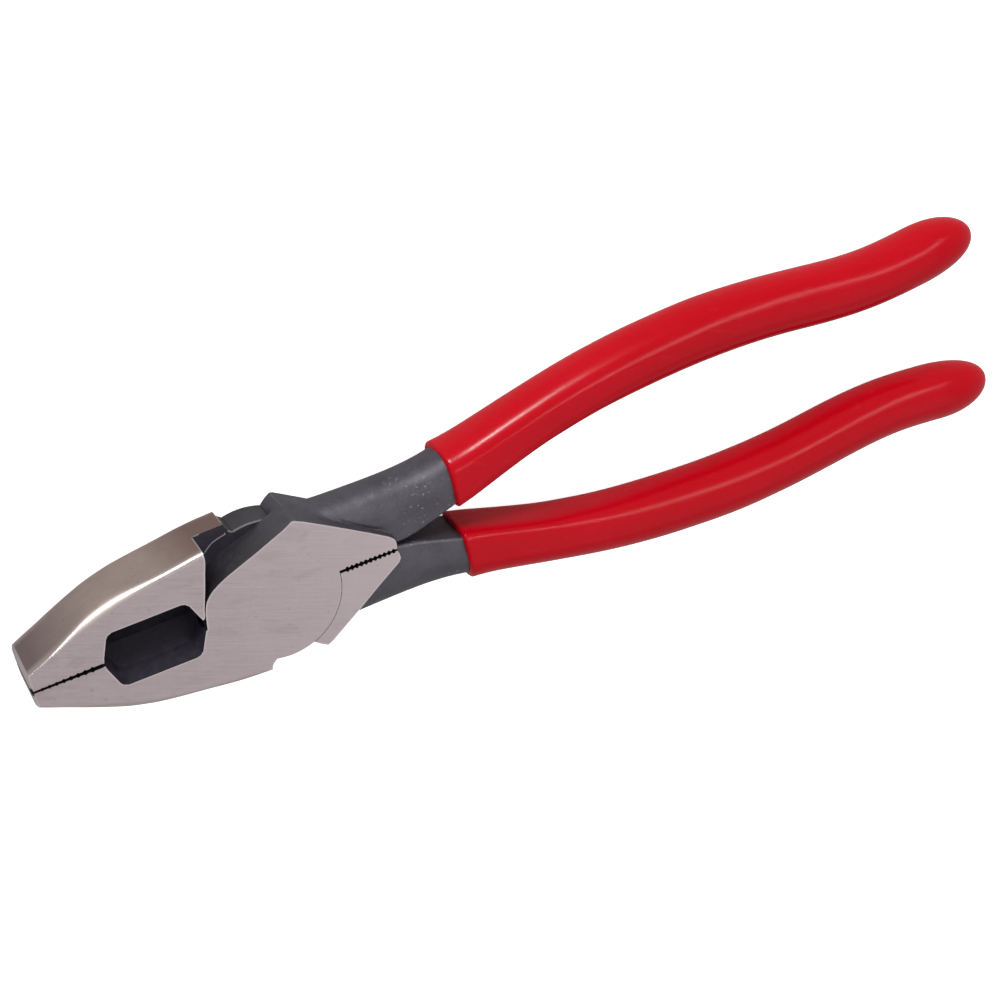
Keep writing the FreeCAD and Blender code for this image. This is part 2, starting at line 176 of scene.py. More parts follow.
side_back = monotone([
    (-50.5, 3.1), (-49.0, 3.6), (-47.0, 4.35), (-44.4, 5.4), (-40.5, 6.45), (-36.0, 7.9),
    (-32.6, 8.95), (-29.8, 9.82), (-26.7, 10.8), (-22.0, 12.1), (-17.7, 12.8), (-12.0, 13.65),
    (-4.6, 14.45), (-1.0, 14.7)])
# (y, x) of the jaw's end towards the handles
rear_edge = monotone([
    (-16.5, -10.9), (-15.05, -11.07), (-13.56, -11.09), (-10.0, -11.95), (-6.8, -12.84),
    (-3.2, -13.97), (-1.17, -14.62), (-1.1, -15.25), (0.5, -15.3)])

# Outlines (x, y). The front layer's, at the front face and at mid thickness, share both ends.
LAYER_START = [
    (-20, -20.5), (-4.69, -20.5), (-4.69, -14.5), (-4.45, -13.95), (-4.15, -13.5),
    (-3.75, -13.2), (-3.42, -12.95)
] + arc(DISC, -104.7, math.degrees(math.asin(0.25 / DISC)), step=2.5) + [(25.5, 0.15)]
LAYER_END = [(-14.62, -1.6), (-20, -1.6)]
front_face = Outline(
    LAYER_START
    + catmull_rom([(25.62, 0.5), (25.66, 1.5), (25.35, 2.55), (24.3, 3.5)], 4)
    + [(21.8, 5.15), (17.15, 8.12), (11.86, 11.4), (9.0, 13.12), (7.3, 13.98), (6.75, 14.0),
       (6.2, 13.72), (4.69, 12.95)]
    + catmull_rom([(-1.54, 10.44), (-7.77, 8.13), (-10.9, 6.57), (-12.44, 5.32), (-13.35, 4.05),
                   (-13.99, 2.2), (-14.43, -0.4)], 6)
    + LAYER_END)
front_mid = Outline(
    LAYER_START
    + [(26.1, 2.0), (25.6, 3.4), (24.6, 4.6), (19.0, 8.4), (13.3, 11.9), (9.6, 13.9),
       (7.15, 14.7), (5.9, 14.3)]
    + catmull_rom([(4.3, 13.55), (-1.9, 11.2), (-8.3, 8.95), (-11.5, 7.0), (-12.72, 5.6),
                   (-13.42, 4.15), (-13.97, 2.2), (-14.43, -0.4)], 6)
    + LAYER_END)
# the back layer, beyond the hollow: at the back face and at mid thickness
tail_back = Outline([
    (3.3, 11.3), (12.9, 0.15), (25.5, 0.15), (25.75, 0.8), (25.8, 2.0), (25.25, 2.8),
    (20.27, 5.95), (15.2, 9.35), (9.0, 13.3), (7.8, 14.02), (7.15, 14.2), (5.94, 13.45),
    (4.84, 12.5)])
tail_mid = Outline([
    (3.3, 11.3), (12.9, 0.25), (25.5, 0.15), (26.1, 2.0), (25.6, 3.4), (24.4, 4.6), (19.0, 8.2),
    (13.3, 11.8), (9.6, 13.8), (7.15, 14.65), (5.9, 14.15), (5.25, 13.5), (4.84, 12.5)])
# the recess beside the knife, at a ground face and at its foot
recess_face = Outline([
    (-34.95, 1.2), (-34.93, -0.3), (-34.7, -1.2), (-33.2, -4.95), (-32.75, -5.5), (-31.8, -5.9),
    (-18.0, -5.95), (-17.2, -5.72), (-16.5, -5.05), (-15.3, -2.25), (-14.6, -0.7), (-14.6, 1.2)])
recess_foot = Outline([
    (-34.3, 1.2), (-34.3, -0.3), (-32.7, -3.6), (-31.7, -4.35), (-18.1, -4.4), (-17.0, -3.8),
    (-15.9, -2.2), (-15.5, -0.4), (-15.5, 1.2)])

# tang: (x, y of the inner wall), (x, y of the outer side), (x, half height)
tang_in = monotone([
    (5.0, 0.3), (25.5, 0.3), (27.7, 0.45), (30.5, 0.95), (34.8, 2.2), (39.8, 3.72), (44.0, 5.1),
    (48.0, 6.45)])
tang_out = natural([
    (5.0, 14.3), (7.6, 13.65), (9.0, 13.4), (12.4, 12.95), (16.8, 12.72), (24.0, 12.6),
    (31.0, 12.68), (36.4, 13.15), (40.3, 13.85), (44.0, 14.6), (48.0, 15.4)], soften=False)
tang_high = monotone([
    (5.0, 6.2), (12.0, 6.1), (20.0, 6.0), (30.0, 5.95), (40.3, 6.05), (46.0, 5.7), (50.0, 5.4)])

# (x, distance of the meeting face from y = 0): jaw and notched edge
seam_gap = monotone([
    (-50.0, 0.24), (-46.5, 0.26), (-43.0, 0.29), (-40.5, 0.32), (-38.0, 0.38), (-35.5, 0.42),
    (-34.7, 0.26), (-33.0, 0.04), (-10.0, 0.02)])
comb_gap = monotone([(12.0, 0.31), (13.3, 0.31), (16.0, 0.31), (25.6, 0.23), (27.0, 0.23)])

# ------------------------------------------------------------------ dipped grip sections
# Edges of the closed tool seen obliquely: (x, y) of the outer and of the inner edge.
GRIP_OUTER = [
    (40.0, 14.95), (44, 15.4), (48, 16.3), (52, 17.2), (56, 18.2), (60, 19.05), (64, 20.0),
    (68, 20.8), (72, 21.6), (76.5, 22.3), (81, 22.9), (85, 23.35), (89, 23.65), (93.5, 23.95),
    (98, 24.2), (102, 24.25), (106.5, 24.15), (111, 23.87), (115.5, 23.58), (120, 23.1),
    (124.5, 22.6), (129.5, 22.0), (134, 21.5), (138.5, 21.2), (143.5, 21.2), (148, 21.55),
    (152.9, 22.1), (158.0, 22.7), (163.0, 23.0), (168.0, 23.1)]
GRIP_INNER = [
    (40.0, 1.0), (43, 1.8), (44.8, 2.4), (48.7, 3.7), (52.7, 4.95), (56.7, 6.2), (60.5, 7.3),
    (64.7, 8.2), (69, 9.1), (73, 9.8), (77.5, 10.4), (82, 10.87), (86.5, 11.25), (91, 11.57),
    (96, 11.85), (99.5, 11.93), (104, 11.95), (108.5, 11.87), (113, 11.65), (118, 11.25),
    (122, 10.8), (127, 10.2), (131.5, 9.78), (136, 9.5), (141, 9.45), (146, 9.7), (150.5, 10.1),
    (155.0, 10.6), (160.0, 11.0), (168.0, 11.2)]
# (x, half height), then (x, superellipse power) of the section's inner and outer sides
grip_high = monotone([
    (40.0, 7.15), (48.0, 6.9), (56.0, 6.7), (66.0, 6.55), (80.0, 6.5), (110.0, 6.45),
    (135.0, 6.3), (168.0, 6.2)])
grip_power_in = monotone([
    (40.0, 6.0), (48.0, 5.4), (56.0, 4.5), (64.0, 3.5), (76.0, 2.7), (90.0, 2.25), (168.0, 2.1)])
grip_power_out = monotone([(40.0, 2.5), (60.0, 2.25), (90.0, 2.1), (168.0, 2.1)])
RISE = 0.5428994083     # shift in Y of a seen edge per mm of height
EDGE_HEIGHT = 2.4       # height from mid thickness at which the edge tables hold

GRIP_START = 40.0
MOUTH = 39.75           # x of the coat's open end
COAT = 1.25             # coat thickness
GRIP_END = dict(tip=166.8, length=14.4)      # rounded end of the coat
CORE_END = dict(tip=160.3, length=7.0)       # of the steel inside it
CAVITY_END = dict(tip=160.35, length=7.0)    # of the coat's own hollow


def grip_sections():
    """Stations along a grip with the section's middle y and half width, solved from its edges."""
    outer, inner = natural(GRIP_OUTER), natural(GRIP_INNER)
    stations = np.linspace(GRIP_START, 168.0, 257)
    middles, widths = [], []
    for x in stations:
        height = grip_high(x)
        seen_outer = outer(x) + RISE * EDGE_HEIGHT
        seen_inner = inner(x) - RISE * EDGE_HEIGHT

        def reach(width, power):
            m = power / (power - 1)
            return (width ** m + (RISE * height) ** m) ** (1 / m)
        low, high = 3.0, 9.0
        for _ in range(40):
            width = 0.5 * (low + high)
            seen = reach(width, grip_power_out(x)) + reach(width, grip_power_in(x))
            if seen < seen_outer - seen_inner:
                low = width
            else:
                high = width
        widths.append(width)
        middles.append(seen_outer - reach(width, grip_power_out(x)))

    def steady(values):
        padded = np.pad(values, 7, mode="reflect", reflect_type="odd")
        return np.convolve(padded, np.ones(15) / 15, mode="valid")
    return stations, steady(middles), steady(widths)


STATIONS, MIDDLES, WIDTHS = grip_sections()


def grip_middle(x):
    return np.interp(x, STATIONS, MIDDLES)


def grip_wide(x):
    return np.interp(x, STATIONS, WIDTHS)


def cap(x, tip, length):
    """How far a section has shrunk near a rounded end: 1 before it, 0 at the tip."""
    t = np.clip((x - (tip - length)) / length, 0, 1)
    return np.maximum(1 - t ** 2.15, 0) ** (1 / 2.15)


# ------------------------------------------------------------------ the forged half as a distance
# Factors close to or below 1 that multiply a term keep it near a true distance.
CROWN = 0.25                          # crown of the jaw's outer side across the thickness
ROUND_MIN, ROUND_MAX = 0.25, 4.6      # radius of the round between that side and a ground face
ROUND_SPAN, ROUND_OVER = 0.69, 0.049  # of the radius: drop across the round, reach past the face
NOSE, NOSE_BEVEL = -49.25, -48.85     # x of the jaw's end and of its bevels
TOOTH_FIRST, TOOTH_PITCH, TOOTH_LAST, TOOTH_SLOPE = -47.2, 1.41, 7, 0.62
TOOTH_X, TOOTH_DEEP = [-47.5, -45.0, -42.0, -37.0], [0.13, 0.17, 0.21, 0.24]
NOTCH_FIRST, NOTCH_PITCH, NOTCH_LAST = 14.87, 0.985, 10
NOTCH_RADIUS, NOTCH_DEEP = 0.30, 0.9
WALL_TILT = 0.045                     # lean of the tang's inner wall per mm of height
TANG_MIDDLE, TANG_POWER = 0.44, 2.35  # where its rounded outer part begins, and that part's power
HOLLOW_END = -13.6                    # x where the hollow stops towards the jaw
RECESS_END = -14.0
RECESS_FLOOR = 2.6                    # height from mid thickness where its wall has its foot line
SEAT_TOP, SEAT_FOOT, SEAT_DEEP = 5.206, 3.62, 1.61   # rivet seat: radii and depth
BORE = 3.64


def from_nearest(x, first, pitch, last):
    """Distance to the nearest of evenly spaced places."""
    k = np.clip(np.round((x - first) / pitch), 0, last)
    return np.abs(x - (first + pitch * k))


def comb(x):
    """Depth of the round notches behind the joint."""
    off = from_nearest(x, NOTCH_FIRST, NOTCH_PITCH, NOTCH_LAST)
    notch = NOTCH_DEEP * np.sqrt(np.maximum(NOTCH_RADIUS ** 2 - off * off, 0))
    return (comb_gap(x) + notch).astype(F32)


def teeth(x):
    """Depth of the jaw's meeting face with its V grooves."""
    off = from_nearest(x, TOOTH_FIRST, TOOTH_PITCH, TOOTH_LAST)
    deep = np.interp(x, TOOTH_X, TOOTH_DEEP)
    return (seam_gap(x) + np.maximum(0.0, deep - TOOTH_SLOPE * off)).astype(F32)


def rim_at(x):
    """Radius at which the lap face steps up beside the jaw."""
    return (13.4 + np.clip((-3.3 - x) / 4.5, 0, 1)).astype(F32)


def jaw_side(x, y, w):
    """The jaw's crowned outer side: with its rounds, and without."""
    top = side_mid(x).astype(F32)
    edge = np.where(w > 0, side_front(x), side_back(x)).astype(F32)
    radius = np.clip((top - CROWN - edge) / ROUND_SPAN, ROUND_MIN, ROUND_MAX)
    plain = -y - (top - CROWN * (w / MID) ** 2)
    over = np.abs(w) - (MID + ROUND_OVER * radius)
    u, v = plain + radius, over + radius
    rounded = np.where((u > 0) & (v > 0), np.sqrt(u * u + v * v) - radius,
                       np.maximum(plain, over)) * 0.95
    return rounded, plain


def jaw(x, y, w, side, plain):
    """The jaw, with a nose bevelled towards both ground faces and the outer side."""
    nose = np.maximum(NOSE - x, -(x - NOSE_BEVEL) * 0.894 + (np.abs(w) - MID) * 0.447)
    nose = np.maximum(nose, (plain - x + NOSE_BEVEL + 0.12) * 0.707)
    body = np.maximum(np.maximum(side, y + teeth(x)), nose)
    return np.maximum(body, (x - rear_edge(y).astype(F32)) * 0.96)


def front_layer(x, y, w, radius, side):
    """Cheek and lap disc."""
    share = np.clip(w / MID, 0, 1)
    body = front_face(x, y) * share + front_mid(x, y) * (1 - share)
    rim = np.maximum(np.maximum(-0.28 - w, rim_at(x) - radius), x + 4.75)
    body = np.maximum(body, np.minimum(LAP - w, rim))
    return np.maximum(body, side)


def back_layer(x, y, w):
    """The part outside the hollow for the other disc."""
    share = np.clip(-w / MID, 0, 1)
    body = tail_back(x, y) * share + tail_mid(x, y) * (1 - share)
    return np.maximum(body, w - 0.3)


def tang(x, y, w, far):
    """Bare handle steel: flat inner wall, round outer side, a groove along the cheek's edge."""
    inner, outer = tang_in(x).astype(F32), tang_out(x).astype(F32)
    high = tang_high(x).astype(F32)
    wall = inner - WALL_TILT * w * (1 - far) * np.clip((x - 25) / 4, 0, 1)
    middle = inner + TANG_MIDDLE * (outer - inner)
    wide = outer - middle
    u = np.maximum(y - middle, 0) / wide
    v = np.abs(w) / high
    n = TANG_POWER
    g = (u ** n + v ** n + 1e-9) ** (1 / n)
    slope_u = (u + 1e-6) ** (n - 1) / (g ** (n - 1)) / wide
    slope_v = (v + 1e-6) ** (n - 1) / (g ** (n - 1)) / high
    rounded = (g - 1) / np.sqrt(slope_u * slope_u + slope_v * slope_v)
    below = np.minimum(y - middle, 0)
    walled = soft_max((wall - y), (np.abs(w) - (high + 0.085 * below)) * 0.99, 0.7)
    body = np.where(y > middle, rounded, walled)
    groove = (np.exp(-((front_face(x, y) - 0.35) / 0.42) ** 2)
              * np.clip((w - 3.5) / 2.0, 0, 1) * np.clip((25.4 - x) / 4.0, 0, 1))
    return np.maximum(body + 0.38 * groove, 8.9 - x)


def core(x, y, w):
    """The tang's run inside the coat."""
    wide, high = (grip_wide(x) - COAT).astype(F32), (grip_high(x) - COAT).astype(F32)
    shrink = cap(x, **CORE_END).astype(F32)
    u = (y - grip_middle(x).astype(F32)) / np.maximum(wide * shrink, 0.05)
    v = w / np.maximum(high * shrink, 0.05)
    power = np.where(u > 0, grip_power_out(x), grip_power_in(x)).astype(F32)
    g = (np.abs(u) ** power + np.abs(v) ** power + 1e-9) ** (1 / power)
    body = (g - 1) * np.minimum(wide, high) * np.maximum(shrink, 0.2)
    return np.maximum(body, x - CORE_END["tip"])


def recess(x, y, w):
    """The hollows beside the knife, with a bevel up to the cutting edge."""
    aw = np.abs(w)
    share = np.clip((aw - RECESS_FLOOR) / (MID - RECESS_FLOOR), 0, 1)
    hole = recess_face(x, y) * share + recess_foot(x, y) * (1 - share)
    bevel = (0.612 * (-y - 0.02) + 0.2 - aw) * 0.853
    return np.maximum(soft_max(hole, bevel, 0.25), x - RECESS_END)


def half(x, y, z):
    """Signed distance, roughly, of the forged half that has the lower jaw and upper handle."""
    w = z - MID
    radius = np.sqrt(x * x + y * y)
    side, plain = jaw_side(x, y, w)
    far = np.clip((x - 41.0) / 6.0, 0, 1)
    far = far * far * (3 - 2 * far)
    handle = tang(x, y, w, far) * (1 - far) + core(x, y, w) * far
    body = np.minimum(back_layer(x, y, w), front_layer(x, y, w, radius, side))
    body = soft_min(body, handle, 0.7)
    body = np.minimum(body, jaw(x, y, w, side, plain))
    # cuts: ground faces, the other half's disc, the notched edge, the recesses, the rivet hole
    body = np.maximum(body, np.abs(w) - MID)
    hollow = np.maximum(np.maximum(radius - HOLLOW, w - LAP), HOLLOW_END - x)
    body = np.maximum(body, -hollow)
    body = np.maximum(body, np.minimum(comb(x) - y, np.minimum(radius - DISC, x - 3.0)))
    body = np.maximum(body, -recess(x, y, w))
    cone = SEAT_TOP + (z - THICK) * (SEAT_TOP - SEAT_FOOT) / SEAT_DEEP
    seat = np.maximum((radius - cone) * 0.71, THICK - SEAT_DEEP - z)
    body = np.maximum(body, -np.minimum(radius - BORE, seat))
    return body.astype(F32)


# ------------------------------------------------------------------ meshing by dual contouring
STEP = 0.25
FINE = 0.115      # round the nose, teeth, seam and notches
CORE_STEP = 1.1                      # along the core, out of sight


def sample_grid():
    gx = np.concatenate([
        np.arange(-49.6, -48.0, FINE), np.arange(-48.0, -36.6, FINE), np.arange(-36.6, 13.0, STEP),
        np.arange(13.0, 26.0, FINE), np.arange(26.0, 43.0, STEP), np.arange(43.0, 159.0, CORE_STEP),
        np.arange(159.0, 161.2, 0.3)])
    gy = np.concatenate([
        np.arange(-15.9, -0.75, STEP), np.arange(-0.75, 0.75, FINE), np.arange(0.75, 24.6, STEP)])
    # half a cell beyond each ground face, so that the faces fall inside cells
    n = int(round(15.0 / STEP))
    gz = np.linspace(-0.5 * 15.0 / n, 15.0 + 0.5 * 15.0 / n, n + 2)
    return [g.astype(F32) for g in (gx, gy, gz)]


def grid_points(grid, at):
    return np.stack([grid[q][at[:, q]] for q in range(3)], 1)


def crossings(axis, grid, values):
    """The cuts of the surface through the grid lines along one axis: points, normals, the four
    cells round each, and those cells wound as a face."""
    solid = values < 0
    before, after, within = [slice(None)] * 3, [slice(None)] * 3, [slice(None)] * 3
    before[axis], after[axis] = slice(0, -1), slice(1, None)
    changes = solid[tuple(before)] != solid[tuple(after)]
    one, two = [q for q in range(3) if q != axis]
    within[one] = within[two] = slice(1, -1)
    start = np.argwhere(changes[tuple(within)])
    start[:, one] += 1
    start[:, two] += 1
    end = start.copy()
    end[:, axis] += 1
    low, high = grid_points(grid, start), grid_points(grid, end)
    start_value = near_value = values[tuple(start.T)]
    far_value = values[tuple(end.T)]

    # close in on the surface by false position and halving in turn
    near, far = np.zeros(len(start), F32), np.ones(len(start), F32)
    for turn in range(4):
        if turn % 2 == 0:
            t = near + (far - near) * (near_value / (near_value - far_value))
        else:
            t = 0.5 * (near + far)
        point = low + (high - low) * t[:, None]
        value = half(point[:, 0], point[:, 1], point[:, 2])
        same = (value < 0) == (near_value < 0)
        near, near_value = np.where(same, t, near), np.where(same, value, near_value)
        far, far_value = np.where(same, far, t), np.where(same, far_value, value)
    t = near + (far - near) * (near_value / (near_value - far_value + 1e-20))
    points = (low + (high - low) * t[:, None]).astype(np.float64)

    normals = []
    for nudge in np.eye(3) * 0.006:
        ahead, behind = points + nudge, points - nudge
        normals.append(half(*ahead.T.astype(F32)) - half(*behind.T.astype(F32)))
    normals = np.stack(normals, 1)
    normals /= np.linalg.norm(normals, axis=1, keepdims=True) + 1e-12

    cell_shape = [len(g) - 1 for g in grid]
    cells = []
    for step_one, step_two in ((0, 0), (-1, 0), (-1, -1), (0, -1)):
        cell = start.copy()
        cell[:, one] += step_one
        cell[:, two] += step_two
        cells.append(np.ravel_multi_index(tuple(cell.T), cell_shape))
    cells = np.stack(cells, 1)
    forward = (start_value > 0) if axis == 1 else (start_value < 0)
    return points, normals, cells, np.where(forward[:, None], cells, cells[:, ::-1])


def build_half():
    """Vertices in millimetres and four-cornered faces, with true sharp edges."""
    grid = sample_grid()
    gx, gy, gz = grid
    values = np.empty((len(gx), len(gy), len(gz)), F32)
    for a in range(0, len(gx), 96):      # in slabs, to spare memory
        values[a:a + 96] = half(gx[a:a + 96, None, None], gy[None, :, None], gz[None, None, :])
    parts = zip(*(crossings(axis, grid, values) for axis in range(3)))
    points, normals, cells, quads = (np.concatenate(part) for part in parts)

    # one vertex in each cell, where the tangent planes of its cuts come closest to meeting
    used, owner = np.unique(cells.ravel(), return_inverse=True)
    m = len(used)
    owner = owner.reshape(-1)
    points, normals = np.repeat(points, 4, 0), np.repeat(normals, 4, 0)
    count = np.bincount(owner, minlength=m).astype(float)
    centre = np.stack([np.bincount(owner, points[:, q], m) / count for q in range(3)], 1)
    offset = (normals * (points - centre[owner])).sum(1)
    matrix = np.zeros((m, 3, 3))
    for q in range(3):
        for r in range(q, 3):
            product = np.bincount(owner, normals[:, q] * normals[:, r], m)
            matrix[:, q, r] = matrix[:, r, q] = product
    right = np.stack([np.bincount(owner, normals[:, q] * offset, m) for q in range(3)], 1)
    value, vector = np.linalg.eigh(matrix)
    kept = value > 0.018 * value[:, 2:3]
    inverse = np.where(kept, 1 / np.maximum(value, 1e-9), 0)
    shift = np.einsum("nij,nj->ni", vector, inverse * np.einsum("nji,nj->ni", vector, right))
    cell = np.stack(np.unravel_index(used, [len(g) - 1 for g in grid]), 1)
    vertices = np.clip(centre + shift, grid_points(grid, cell), grid_points(grid, cell + 1))
    return vertices, np.searchsorted(used, quads)


def link_object(name, mesh):
    ob = bpy.data.objects.new(name, mesh)
    bpy.context.scene.collection.objects.link(ob)
    return ob


def turned(points):
    """The same forging or coat, turned half a turn about the long axis at mid thickness."""
    return np.stack([points[:, 0], -points[:, 1], THICK - points[:, 2]], 1)


# ------------------------------------------------------------------ shader building
class Shader:
    """A material whose base colour is built up in layers. A span is the range of a value that is
    mapped; colours are linear RGB."""

    def __init__(self, name):
        self.material = bpy.data.materials.new(name)
        self.material.use_nodes = True
        self.tree = self.material.node_tree
        self.tree.nodes.clear()
        self.output = self.node("OutputMaterial")
        self.bsdf = self.node("BsdfPrincipled")
        self.feed(self.output.inputs[0], self.bsdf.outputs[0])
        self.colour = None

    def feed(self, socket, value):
        if isinstance(value, bpy.types.NodeSocket):
            self.tree.links.new(value, socket)
        else:
            socket.default_value = value

    def node(self, kind, inputs={}, **settings):
        node = self.tree.nodes.new("ShaderNode" + kind)
        for key, value in settings.items():
            setattr(node, key, value)
        self.dress(node, inputs)
        return node

    def dress(self, node, inputs):
        for key, value in inputs.items():
            self.feed(node.inputs[key], value)

    def coords(self, turn=0.0, stretch=(1, 1, 1)):
        """Object coordinates turned in plan, then scaled: a small scale draws lines along it."""
        place = self.node("TexCoord").outputs["Object"]
        plan = self.node("Mapping", {"Rotation": (0, 0, turn), "Vector": place})
        return self.node("Mapping", {"Scale": stretch, "Vector": plan.outputs[0]}).outputs[0]

    def grain(self, scale, detail, rough, distort=0.0, vector=None):
        return self.node("TexNoise", {
            "Scale": scale, "Detail": detail, "Roughness": rough, "Distortion": distort,
            "Vector": vector or self.coords()}).outputs["Fac"]

    def streaks(self, stretch, turn=0.0, **noise):
        return self.grain(scale=1.0, vector=self.coords(turn, stretch), **noise)

    def position(self):
        """Sockets X, Y and Z of the object coordinates."""
        place = self.node("TexCoord").outputs["Object"]
        return self.node("SeparateXYZ", {0: place}).outputs

    def attribute(self, name):
        return self.node("Attribute", attribute_name=name).outputs["Fac"]

    def ramp(self, factor, stops):
        node = self.node("ValToRGB", {"Fac": factor})
        elements = node.color_ramp.elements
        for element, (place, rgb) in zip(elements, (stops[0], stops[-1])):
            element.position, element.color = place, (*rgb, 1)
        for place, rgb in stops[1:-1]:
            elements.new(place).color = (*rgb, 1)
        return node.outputs["Color"]

    def remap(self, value, span, to=(0.0, 1.0)):
        return self.node("MapRange", {
            "From Min": span[0], "From Max": span[1], "To Min": to[0], "To Max": to[1],
            "Value": value}).outputs["Result"]

    def math(self, operation, *values):
        return self.node("Math", dict(enumerate(values)), operation=operation).outputs[0]

    def average(self, a, b, share):
        """Two values mixed, with b's share."""
        return self.node("Mix", {0: share, 2: a, 3: b}, data_type="FLOAT").outputs[0]

    def cover(self, rgb, amount):
        """Lay a colour over what is there."""
        rgb = (*rgb, 1) if isinstance(rgb, tuple) else rgb
        node = self.node("Mix", {0: amount, 6: self.colour, 7: rgb}, data_type="RGBA")
        self.colour = node.outputs[2]

    def tint(self, rgb, mask, span, peak=1.0):
        """Lay a colour over where the mask goes through its span, up to the peak amount."""
        self.cover(rgb, self.remap(mask, span, to=(0.0, peak)))

    def bump(self, height, strength, distance, **more):
        inputs = {"Strength": strength, "Distance": distance, "Height": height}
        return self.node("Bump", {**inputs, **more}).outputs["Normal"]

    def blend_surfaces(self, amount, first, second):
        """Send a mix of two surfaces to the output in place of the first alone."""
        surface = self.node("MixShader", {0: amount, 1: first.outputs[0], 2: second.outputs[0]})
        self.feed(self.output.inputs[0], surface.outputs[0])


# ------------------------------------------------------------------ materials
def ground_surface(s, bsdf):
    """Grinding lines, cross scratches, smudges and specks on bare steel."""
    turn = math.radians(22)
    lines = s.streaks(stretch=(110, 3200, 110), turn=turn, detail=4, rough=0.62)
    fine = s.streaks(stretch=(500, 9000, 500), turn=turn, detail=2, rough=0.5)
    cross = s.streaks(stretch=(260, 2600, 260), turn=turn + math.radians(84), detail=3, rough=0.6)
    patch = s.grain(scale=120, detail=5, rough=0.6)
    smudge = s.streaks(stretch=(110, 240, 110), turn=turn, detail=4, rough=0.62, distort=0.6)
    specks = s.grain(scale=760, detail=2, rough=0.5)
    s.colour = s.ramp(lines, [(0.3, (0.360, 0.300, 0.318)), (0.5, (0.450, 0.380, 0.400)),
                              (0.72, (0.525, 0.452, 0.474))])
    s.cover(s.ramp(fine, [(0.3, (0.36, 0.30, 0.32)), (0.7, (0.55, 0.475, 0.495))]), amount=0.30)
    s.cover(s.ramp(cross, [(0.35, (0.35, 0.295, 0.31)), (0.68, (0.56, 0.49, 0.51))]), amount=0.07)
    scratch = s.streaks(stretch=(42, 5200, 42), turn=turn + 0.03, detail=2, rough=0.5)
    s.tint((0.62, 0.55, 0.57), scratch, span=(0.66, 0.74), peak=0.40)
    s.tint((0.26, 0.215, 0.23), scratch, span=(0.34, 0.27), peak=0.42)
    s.tint((0.525, 0.445, 0.455), patch, span=(0.36, 0.72), peak=0.40)
    s.tint((0.27, 0.210, 0.200), smudge, span=(0.58, 0.78), peak=0.50)
    s.tint((0.20, 0.165, 0.17), specks, span=(0.70, 0.77), peak=0.35)
    # painted light: the faces are painted paler towards the handles, where they catch more light
    s.tint((0.575, 0.490, 0.512), s.position()["X"], span=(-0.012, 0.022), peak=0.42)
    s.tint((0.62, 0.555, 0.565), s.attribute("edge"), span=(0.15, 0.9))
    s.dress(bsdf, {
        "Base Color": s.colour,
        "Metallic": 1.0,
        "Roughness": s.remap(lines, span=(0.3, 0.7), to=(0.36, 0.50)),
        "Normal": s.bump(s.average(lines, fine, share=0.4), strength=0.20, distance=0.00006)})


def ground_steel():
    s = Shader("ground_steel")
    ground_surface(s, s.bsdf)
    return s.material


def side_steel():
    s = Shader("polished_side_steel")
    lines = s.streaks(stretch=(60, 1500, 1500), turn=math.radians(-20), detail=3, rough=0.6)
    patch = s.grain(scale=85, detail=4, rough=0.6)
    dots = s.grain(scale=900, detail=2, rough=0.5)
    s.colour = s.ramp(patch, [(0.3, (0.53, 0.432, 0.388)), (0.7, (0.62, 0.515, 0.470))])
    s.cover(s.ramp(lines, [(0.3, (0.43, 0.35, 0.315)), (0.7, (0.70, 0.59, 0.54))]), amount=0.22)
    s.tint((0.22, 0.175, 0.155), dots, span=(0.66, 0.76), peak=0.40)
    cloud = s.streaks(stretch=(55, 130, 130), turn=0.4, detail=4, rough=0.6, distort=0.5)
    s.tint((0.385, 0.290, 0.245), cloud, span=(0.42, 0.72), peak=0.30)
    place = s.position()
    from_mid = s.math("ABSOLUTE", s.math("SUBTRACT", place["Z"], 0.0075))
    # darker at the nose, except next to the ground faces, and at the joint
    nose = s.math("MULTIPLY", s.remap(place["X"], span=(-0.0470, -0.034), to=(0.95, 0.0)),
                  s.remap(from_mid, span=(0.0050, 0.0068), to=(1.0, 0.10)))
    s.cover((0.250, 0.190, 0.184), amount=nose)
    s.tint((0.288, 0.180, 0.152), place["X"], span=(-0.021, -0.011), peak=0.90)
    # painted sheen: the roll next to the ground face, where the highlight streak runs, is painted
    # brighter and less warm
    s.tint((0.610, 0.545, 0.540), from_mid, span=(0.0056, 0.0073), peak=0.70)
    s.tint((0.66, 0.60, 0.585), s.attribute("edge"), span=(0.25, 1.0))
    s.dress(s.bsdf, {
        "Base Color": s.colour,
        "Metallic": 1.0,
        "Roughness": s.remap(patch, span=(0.3, 0.7), to=(0.27, 0.35)),
        "Normal": s.bump(lines, strength=0.08, distance=0.00005)})
    # the last bit of the round was ground with the face
    ground = s.node("BsdfPrincipled")
    ground_surface(s, ground)
    s.blend_surfaces(s.attribute("ground"), s.bsdf, ground)
    return s.material


